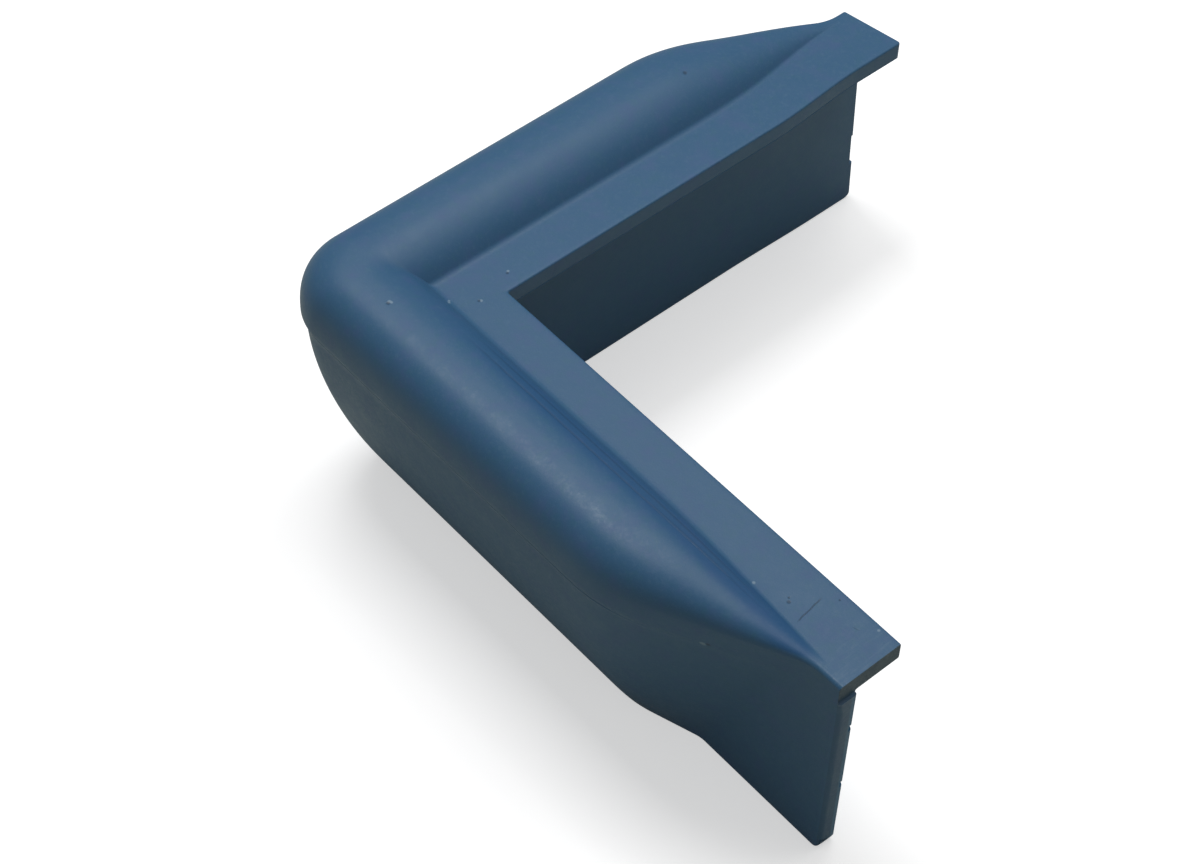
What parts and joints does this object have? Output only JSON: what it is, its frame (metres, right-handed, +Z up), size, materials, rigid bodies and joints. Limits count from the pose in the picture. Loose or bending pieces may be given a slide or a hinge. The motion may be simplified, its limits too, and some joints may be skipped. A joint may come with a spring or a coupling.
{
  "type": "dock corner fender",
  "caption": "L-shaped dock corner fender: a flat flange lies on the dock's top, a skirt hangs down its outer sides and a fat rounded bulge takes a boat's rub.",
  "frame": {"origin": "middle of the bounding box, at the bottom edge of the skirt, on which the fender stands", "axes": "+Z up; one arm runs out along +X and the other along +Y from the rounded outer corner, which points to -X -Y"},
  "size_m": [0.4736, 0.4736, 0.199],
  "materials": {
    "navy_plastic": "satin moulded skin, navy blue all through"
  },
  "bodies": {
    "root": {"corner_fender": "navy_plastic"}
  },
  "joints": []
}
